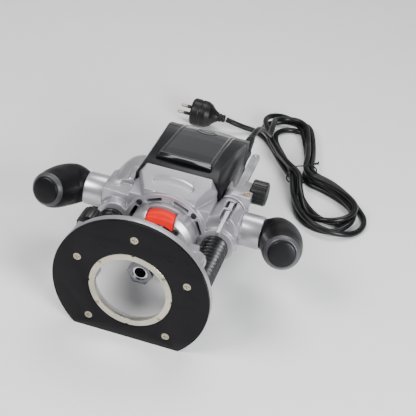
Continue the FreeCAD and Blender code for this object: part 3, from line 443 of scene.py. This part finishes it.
route = cord_points()
line = bpy.data.curves.new("flex", "CURVE")
line.dimensions = "3D"
line.resolution_u = 4
line.bevel_depth = CORD / 2000
line.bevel_resolution = 5
line.use_fill_caps = True
spline = line.splines.new("NURBS")
spline.points.add(len(route) - 1)
for point, place in zip(spline.points, route):
    point.co = (*place, 1)
spline.order_u = 3
spline.use_endpoint_u = True
line.materials.append(FINISH["cord"])
flex = add(bpy.data.objects.new("flex", line))
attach(flex, "carriage")
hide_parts("cord", "cord_hank", "cord_tail")

relief = lathe("flex_relief", at(42, 289, 10), (0, 1, 0), rounded([
    (0, 0.01), (0, 5.9), (6.2, 5.9), (6.2, 9), (9.6, 9), (11, 7.6), (13, 7.3), (13.6, 6.6), (15.6, 6.6),
    (16.2, 7.1), (18.4, 7), (19, 6.3), (21, 6.3), (21.6, 6.7), (23.8, 6.6), (24.4, 6), (26.4, 5.9),
    (27, 6.3), (29.2, 6.2), (29.8, 5.6), (31.8, 5.5), (32.4, 5.9), (34.6, 5.8), (35.2, 5.2),
    (37.2, 5.1), (37.8, 5.5), (40, 5.4), (40.6, 4.8),
    (47.5, 4.5), (48, 3.7), (48, 0.01)], 0.3, 2), "cord", "carriage", 40)
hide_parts("strain_relief")


def make_plug():
    """A moulded two-pin plug with a ribbed neck."""
    body = lathe("flex_plug", at(-20, 455, -42.9), (-1, 0, 0), rounded([
        (0, 0.01), (0, 4.6), (2, 5.5), (3.4, 5.5), (3.8, 4.9), (5.6, 5.1), (6, 5.8), (7.8, 6.2), (8.2, 5.6),
        (10, 6), (10.4, 6.8), (13, 8), (17, 11), (21, 15.5), (27, 18.4), (33, 18.9), (34, 18.3),
        (36.5, 18.3), (37.5, 18.9),
        (45.5, 19), (48, 17.4), (48, 0.01)], 0.7, 3), "plug", "carriage", 64)
    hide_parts("plug")
    pins = []
    for index, offset in enumerate((-9.5, 9.5)):
        base = at(-67.9, 455 + offset, -42.9)
        sleeve = lathe(f"flex_plug_sleeve_{index}", base, (-1, 0, 0), rounded([
            (0, 0.01), (0, 2.35), (9.6, 2.35), (10, 2.1), (10, 0.01)], 0.2, 2), "plug", "carriage", 32)
        pin = lathe(f"flex_plug_pin_{index}", base, (-1, 0, 0), rounded([
            (9, 0.01), (9, 2.2), (17.6, 2.2), (19.1, 1.1), (19.1, 0.01)], 0.8, 4), "screw", "carriage", 32)
        pins += [sleeve, pin]
    return [body] + pins


plug_pieces = make_plug()


def make_tie():
    """A twist tie round the middle of the coil, its two ends wound together on top."""
    across = Vector((0.86, 0.51))
    centre = TIE + across * 1.5
    reach = 20.5
    tops = [p for p in route if (Vector((p.x * 1000, p.y * 1000 + SEAT_Y)) - TIE).length < 20]
    high = max(p.z for p in tops) * 1000 - SEAT_Z + CORD / 2 + 0.8
    loop = []
    steps = 40
    for step in range(steps):
        turn = 2 * math.pi * step / steps
        flat = math.copysign(abs(math.cos(turn)) ** 0.7, math.cos(turn))
        tall = math.copysign(abs(math.sin(turn)) ** 0.7, math.sin(turn))
        spot = centre + across * reach * flat
        middle = (high - 61.3) / 2
        loop.append(at(spot.x, spot.y, middle + (high - middle) * tall))
    strip = bpy.data.curves.new("flex_tie", "CURVE")
    strip.dimensions = "3D"
    strip.bevel_depth = 0.0009
    strip.bevel_resolution = 3
    ring = strip.splines.new("NURBS")
    ring.points.add(len(loop) - 1)
    for point, place in zip(ring.points, loop):
        point.co = (*place, 1)
    ring.order_u = 3
    ring.use_cyclic_u = True
    for phase in (0, math.pi):
        wound = strip.splines.new("NURBS")
        wound.points.add(17)
        for index, point in enumerate(wound.points):
            turn = phase + index * 0.85
            spread = 1.0 + (0.28 * (index - 14) if index > 14 else 0)
            spot = centre + across * (6 + index * 0.85)
            point.co = (*at(spot.x + spread * math.cos(turn), spot.y + spread * math.cos(turn),
                            high + 0.6 + index * 0.16 + spread * math.sin(turn)), 1)
        wound.order_u = 3
        wound.use_endpoint_u = True
    strip.materials.append(FINISH["plug"])
    tie = add(bpy.data.objects.new("flex_tie", strip))
    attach(tie, "carriage")
    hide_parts("cord_tie")
    return tie


tie = make_tie()


# --- castings and mouldings that follow their CAD shapes -------------------------------------

EDGES = {
    "base_casting": 1.0, "nose_housing": 1.0, "depth_guide": 1.1, "depth_turret": 0.6,
    "sole_plate": 0.5, "bush_ring": 0.35, "depth_rod": 0.6, "collet_nut": 0.7, "guide_clamp_left": 0.45,
    "guide_clamp_right": 0.45, "depth_clamp_knob": 0.45, "plunge_lock_lever": 0.9, "handle_socket_left": 0.8,
    "handle_socket_right": 0.8, "power_switch": 0.6, "speed_dial": 0.35, "brush_caps": 0.4,
    "sole_screws": 0.15,
    "housing_screws": 0.25, "guide_tension_screw": 0.3, "lock_lever_screw": 0.4,
    "motor_shell": 0.8, "end_cap": 0.8}
# air slots of the motor case
SIDES = (-1, 1)
SHELL_SLOTS = [((side * 50, 158 + 6.2 * row, -34), (5, 2.4, 24), 0) for side in SIDES for row in range(5)]
CAP_SLOTS = [((side * 50, 268.5 + 4.6 * row, -24), (5, 2.2, 26), 0) for side in SIDES for row in range(5)]
CAP_SLOTS += [((0, 295, -30 + 6 * row), (52, 5, 2.6), 0) for row in range(7)]
CUTS = {"motor_shell": SHELL_SLOTS, "end_cap": CAP_SLOTS}
looks = {node: softened(node, width, cuts=CUTS.get(node, ())) for node, width in EDGES.items()}
for node in ("plunge_springs", "lock_spring"):
    looks[node] = softened(node, 0.01, 1)
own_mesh(looks["plunge_springs"])
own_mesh(looks["lock_spring"])


# --- carriage casting ------------------------------------------------------------------------

def solid_of_revolution(made, centre, direction, profile, steps=48):
    """Add a closed turned solid to a bmesh; profile is (distance along, radius) in mm."""
    side, other = frame_along(direction)
    forward = Vector(direction).normalized()
    rings = []
    for along, radius in profile:
        ring = []
        for step in range(steps):
            turn = 2 * math.pi * step / steps
            spoke = side * math.cos(turn) + other * math.sin(turn)
            ring.append(made.verts.new(centre + (forward * along + spoke * radius) / 1000))
        rings.append(ring)
    for lower, upper in zip(rings, rings[1:]):
        for step in range(steps):
            after = (step + 1) % steps
            made.faces.new((lower[step], lower[after], upper[after], upper[step]))
    made.faces.new(list(reversed(rings[0])))
    made.faces.new(rings[-1])


# the sloping front facet: its foot (y, z) and rise, and the arched band sunk into it
FACET_FOOT = (117, 45.6)
FACET_RISE = 12.4 / 33
PANEL_DEPTH = 1.3
PANEL_LEVEL = 136
PANEL_ARCH = 0.0105
PANEL_REACH = 19
PANEL_EDGE = (3.4, 4.6)


def blend_in(value, low, high):
    share = min(1, max(0, (value - low) / (high - low)))
    return share * share * (3 - 2 * share)


def panel_share(x, y):
    """1 inside the arched sunk band on the front facet, 0 outside it."""
    across = abs(y - (PANEL_LEVEL - PANEL_ARCH * x * x))
    past_end = max(0, abs(x) - PANEL_REACH)
    return 1 - blend_in(math.hypot(across, past_end), *PANEL_EDGE)


def cast_carriage():
    """The cast motor housing: the CAD solid with its left shoulder and handle bosses blended in."""
    made = bmesh.new()
    made.from_mesh(frame["nodes"]["carriage_casting"].data)
    bmesh.ops.remove_doubles(made, verts=made.verts, dist=0.000004)
    # the left tower's smooth shoulder, then a flare at each handle socket and tower foot
    dome = [(144, 20), (154, 22.4), (168, 23.6), (180, 23.6), (190, 22.5), (199, 20.2), (207, 16.6),
            (213, 12), (218, 5)]
    solid_of_revolution(made, at(-58, 0, 3), (0, 1, 0), dome)
    solid_of_revolution(made, at(-56, 0, 13), (0, 1, 0), dome)
    for side in (-1, 1):
        solid_of_revolution(made, at(side * 64, 145, 8), (side, 0, 0), [
            (0, 21.4), (6, 21.4), (11, 20.9), (14.5, 19.8), (15.9, 19.2)])
        solid_of_revolution(made, at(side * 60, 113, 0), (0, 1, 0), [
            (-0.9, 19), (0.5, 20.3), (30, 20.3), (34, 19.9)])
    mesh = bpy.data.meshes.new("carriage_cast")
    made.to_mesh(mesh)
    made.free()
    obj = add(bpy.data.objects.new("carriage_cast", mesh))
    remesh = obj.modifiers.new("pour", "REMESH")
    remesh.mode = "VOXEL"
    remesh.voxel_size = 0.00062
    bake(obj)
    for vertex in obj.data.vertices:
        x, y, z = vertex.co.x * 1000, vertex.co.y * 1000 + SEAT_Y, vertex.co.z * 1000 - SEAT_Z
        plane = FACET_FOOT[1] + (y - FACET_FOOT[0]) * FACET_RISE
        if abs(x) < 27 and 122 < y < 144 and plane - 3 < z < plane + 1:
            vertex.co.z = (plane - PANEL_DEPTH * panel_share(x, y) + SEAT_Z) / 1000
    relax = obj.modifiers.new("relax", "SMOOTH")
    relax.factor = 0.5
    relax.iterations = 6
    thin = obj.modifiers.new("thin", "DECIMATE")
    thin.ratio = 0.16
    bake(obj)
    for polygon in obj.data.polygons:
        polygon.use_smooth = True
    obj.data.materials.clear()
    obj.data.materials.append(FINISH["cast"])
    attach(obj, "carriage")
    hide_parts("carriage_casting")


cast_carriage()


# --- front cover of the motor ----------------------------------------------------------------

def cover_height(x, y):
    """Outer face of the cover: the motor's front line with its lip, side ridges, sunk panel and oval."""
    keys = [(161, 60.5), (165, 62.6), (172, 63.4), (190, 61.3), (233, 54.4), (252, 50.6), (264, 47.3),
            (276, 42.9),
            (285, 37.6), (292, 29.5)]
    for (y0, z0), (y1, z1) in zip(keys, keys[1:]):
        if y <= y1 or y1 == keys[-1][0]:
            height = z0 + (z1 - z0) * (y - y0) / (y1 - y0)
            break
    wide = abs(x)
    height -= 0.0016 * x * x
    height -= 2.6 * blend_in(wide, 30.5, 33) ** 2
    low = 168.5 + 0.0035 * x * x
    panel = blend_in(y, low + 2.2, low + 4) * (1 - blend_in(y, 276, 280)) * (1 - blend_in(wide, 27.6, 29))
    height -= 1.1 * panel
    crest = blend_in(y, low - 3.4, low - 0.6) * (1 - blend_in(y, low + 0.6, low + 3.2))
    lip = crest * (1 - blend_in(wide, 28, 31))
    height += 0.65 * lip
    oval = math.hypot(x / 11.5, (y - 262) / 8.5)
    height += 0.8 * (1 - blend_in(abs(oval - 1), 0.05, 0.16))
    return height


def make_cover():
    columns, rows = 132, 232
    xs = [-33 + 66 * k / columns for k in range(columns + 1)]
    ys = [163 + 129 * k / rows for k in range(rows + 1)]

    def smoothed(x, y):
        return sum(cover_height(x, min(292, max(161, y + step))) for step in (-1.2, -0.6, 0, 0.6, 1.2)) / 5

    verts = [at(x, y, smoothed(x, y)) for y in ys for x in xs]
    verts += [at(x, y, smoothed(x, y) - 3.2) for y in ys for x in xs]
    wide = columns + 1
    under = wide * (rows + 1)
    faces = []
    for row in range(rows):
        for column in range(columns):
            a = row * wide + column
            faces.append((a, a + 1, a + 1 + wide, a + wide))
            faces.append((under + a, under + a + wide, under + a + 1 + wide, under + a + 1))
    for row in range(rows):
        for column in (0, columns):
            a = row * wide + column
            faces.append((a, a + wide, under + a + wide, under + a))
    for column in range(columns):
        for row in (0, rows):
            a = row * wide + column
            faces.append((a, a + 1, under + a + 1, under + a))
    cover = piece("cover", verts, faces, "black_gloss", "carriage")
    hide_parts("front_cover")


make_cover()


# --- spindle lock button ---------------------------------------------------------------------

def make_button():
    """An arched crown behind a lower lip, with a round underside."""
    half = 15.5
    columns = 48
    verts = []
    for column in range(columns + 1):
        x = half * math.sin((column / columns - 0.5) * math.pi)
        edge = math.sqrt(max(0, 1 - (x / (half + 0.05)) ** 8))
        crown = 35.4 + 3.8 * (1 - (x / half) ** 2) - 1.6 * (1 - edge)
        lip = 32.8 + 1.6 * (1 - (x / half) ** 2) - 1.2 * (1 - edge)
        inner = math.sqrt(26.1 ** 2 - x ** 2)
        section = rounded([
            (87.2, inner), (87.2, lip), (89.2, lip + 0.3), (89.5, lip - 0.4), (90, lip - 0.3),
            (90.2, crown - 0.6),
            (92, crown + 0.3), (95.5, crown + 0.1), (101, crown - 1.6), (102.6, inner)], 1.1, 4)
        verts += [at(x, y, z) for y, z in section]
    count = len(section)
    faces = []
    for column in range(columns):
        for index in range(count):
            a = column * count + index
            b = column * count + (index + 1) % count
            faces.append((a, b, b + count, a + count))
    faces.append(tuple(range(count)))
    faces.append(tuple(range(columns * count, (columns + 1) * count)))
    button = piece("button", verts, faces, "red", "lock_button")
    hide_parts("spindle_lock_button")


make_button()


# --- bellows ---------------------------------------------------------------------------------

def make_bellows(label, side):
    """Rounded folds between two end collars."""
    low, high = 26.4, 111.6
    folds = 13
    pitch = (high - low - 5) / folds
    corners = [(0, 9.1), (0, 13.6), (2.2, 13.6), (2.5, 12.3)]
    for fold in range(folds):
        start = 2.5 + fold * pitch
        corners += [(start + pitch * 0.1, 12.2), (start + pitch * 0.42, 15.3), (start + pitch * 0.58, 15.3),
                    (start + pitch * 0.9, 12.2)]
    end = high - low
    corners += [(end - 2.5, 12.3), (end - 2.2, 13.6), (end, 13.6), (end, 9.1)]
    folds_piece = lathe(f"bellows_{label}_folds", at(side * 60, low, 0), (0, 1, 0), rounded(corners, 0.9, 3),
                        "bellows", "base", 72)
    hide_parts(f"bellows_{label}")
    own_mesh(folds_piece)


make_bellows("left", -1)
make_bellows("right", 1)


# --- handles ---------------------------------------------------------------------------------

def spline_through(keys, share):
    """Catmull-Rom through tuples of numbers, share from 0 to 1."""
    place = share * (len(keys) - 1)
    index = min(int(place), len(keys) - 2)
    t = place - index
    p1, p2 = keys[index], keys[index + 1]
    p0 = keys[index - 1] if index else [2 * a - b for a, b in zip(p1, p2)]
    p3 = keys[index + 2] if index + 2 < len(keys) else [2 * b - a for a, b in zip(p1, p2)]
    return [0.5 * (2 * b + (c - a) * t + (2 * a - 5 * b + 4 * c - d) * t * t
                   + (3 * b - a - 3 * c + d) * t ** 3)
            for a, b, c, d in zip(p0, p1, p2, p3)]


def swept(name, side, keys, finish, rows, steps=72):
    """A round skin through stations of (x, y, z, direction, radius)."""
    verts = []
    for row in range(rows + 1):
        x, y, z, dx, dy, dz, radius = spline_through(keys, row / rows)
        forward = Vector((side * dx, dy, dz)).normalized()
        top = (Vector((0, 0, 1)) - forward * forward.z).normalized()
        other = forward.cross(top)
        for step in range(steps):
            turn = 2 * math.pi * step / steps
            outward = top * math.cos(turn) + other * math.sin(turn)
            verts.append(at(side * x, y, z) + outward * radius / 1000)
    faces = []
    for row in range(rows):
        for step in range(steps):
            a = row * steps + step
            b = row * steps + (step + 1) % steps
            faces.append((a, b, b + steps, a + steps))
    faces.append(tuple(range(steps)))
    faces.append(tuple(range(rows * steps, (rows + 1) * steps)))
    return piece(name, verts, faces, finish, "carriage")


def make_handle(label, side):
    start = 104.3
    keys = [
        (start, 145, 8, 1, 0, 0, 15.4), (start + 0.8, 145, 8, 1, 0, 0, 17.4),
        (start + 3, 145, 8, 1, 0, 0, 18.6),
        (start + 8, 145, 8.1, 0.98, -0.12, 0.03, 21.3), (start + 14, 143.6, 8.6, 0.9, -0.4, 0.12, 23.3),
        (start + 19.5, 138.6, 10, 0.66, -0.7, 0.22, 23.9), (start + 24, 130, 12.4, 0.36, -0.9, 0.28, 23.7),
        (start + 27, 117, 16.4, 0.2, -0.93, 0.3, 22.9), (start + 28.8, 106.5, 20, 0.16, -0.94, 0.31, 21.2),
        (start + 30, 100.2, 23.3, 0.16, -0.94, 0.31, 19.4)]
    grip = swept(f"grip_{label}", side, keys, "grip", 60)
    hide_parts(f"handle_grip_{label}")
    forward = Vector((side * 0.16, -0.94, 0.31)).normalized()
    end = at(side * (start + 30), 100, 23.5)
    band = lathe(f"band_{label}", end, forward, rounded([
        (-0.8, 12), (-0.8, 18.7), (0, 19.3), (0.9, 19.1), (4.2, 16.7), (4.7, 15.9), (4.7, 12)], 0.5, 3),
        "band", "carriage", 72)
    cap = lathe(f"cap_{label}", end + forward * 0.0045, forward, rounded([
        (-0.5, 12), (-0.5, 15.2), (0, 15.6), (1.6, 15.2), (2.7, 13.6), (3.3, 9), (3.5, 4), (3.55, 0.01)],
        1.2, 4),
        "black_plastic", "carriage", 72)
    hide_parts(f"handle_cap_{label}")
    return band


bands = [make_handle(label, side) for label, side in (("left", -1), ("right", 1))]
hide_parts("handle_bands")
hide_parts("handle_bands")


# --- collars of the depth stop ---------------------------------------------------------------

def collar(name, x, z, radius, y, thick, start, stop, steps=44, sides=14):
    """A rounded lip along part of a circle about the vertical of the towers; angles run from +X to +Z."""
    verts, faces = [], []
    for step in range(steps + 1):
        turn = math.radians(start + (stop - start) * step / steps)
        close = math.sqrt(max(0.02, 1 - abs(2 * step / steps - 1) ** 6))
        for corner in range(sides):
            roll = 2 * math.pi * corner / sides
            reach = radius + thick * close * math.cos(roll)
            verts.append(at(x + reach * math.cos(turn), y + thick * 1.25 * close * math.sin(roll),
                            z + reach * math.sin(turn)))
    for step in range(steps):
        for corner in range(sides):
            a = step * sides + corner
            b = step * sides + (corner + 1) % sides
            faces.append((a, b, b + sides, a + sides))
    faces.append(tuple(range(sides)))
    faces.append(tuple(range(steps * sides, (steps + 1) * sides)))
    return piece(name, verts, faces, "cast", "carriage")


collar("boss_collar", 61.5, 21, 18.25, 154, 1.2, 2, 122)
collar("neck_collar", 59.4, 30, 8.7, 171.6, 1.1, 54, 196)


# --- floor and light -------------------------------------------------------------------------

def make_floor():
    """A pale sheet that rolls up behind the object."""
    rows = [(-3.0, 0.0), (2.2, 0.0)]
    for step in range(1, 13):
        turn = step / 12 * math.pi / 2
        rows.append((2.2 + 0.8 * math.sin(turn), 0.8 - 0.8 * math.cos(turn)))
    rows.append((3.0, 3.2))
    verts = [Vector((x, y, z)) for y, z in rows for x in (-4, 4)]
    faces = [(2 * k, 2 * k + 1, 2 * k + 3, 2 * k + 2) for k in range(len(rows) - 1)]
    mesh = bpy.data.meshes.new("floor")
    mesh.from_pydata([tuple(v) for v in verts], [], faces)
    for polygon in mesh.polygons:
        polygon.use_smooth = True
    mesh.materials.append(surface("floor", (0.86, 0.86, 0.86), 0.6, 0, 300, 0.02, 0.1, 0.01))
    floor = add(bpy.data.objects.new("floor", mesh))


def area_light(name, place, target, size, power, color=(1, 1, 1)):
    lamp = bpy.data.lights.new(name, "AREA")
    lamp.shape = "RECTANGLE"
    lamp.size, lamp.size_y = size
    lamp.energy = power
    lamp.color = color
    obj = add(bpy.data.objects.new(name, lamp))
    obj.location = place
    obj.rotation_euler = (Vector(target) - Vector(place)).to_track_quat("-Z", "Y").to_euler()


make_floor()
area_light("key", (-0.75, -0.75, 1.25), (0, 0, 0.05), (0.7, 0.6), 21, (1, 0.985, 0.97))
area_light("fill", (1.1, -0.95, 0.7), (0, 0, 0.05), (0.7, 0.7), 38, (0.97, 0.985, 1))
area_light("top", (0.1, 0.75, 1.5), (0, 0.05, 0), (1.3, 0.6), 17)
world = bpy.data.worlds.new("studio")
world.use_nodes = True
world.node_tree.nodes["Background"].inputs["Color"].default_value = (0.9, 0.92, 0.95, 1)
world.node_tree.nodes["Background"].inputs["Strength"].default_value = 0.24
bpy.context.scene.world = world
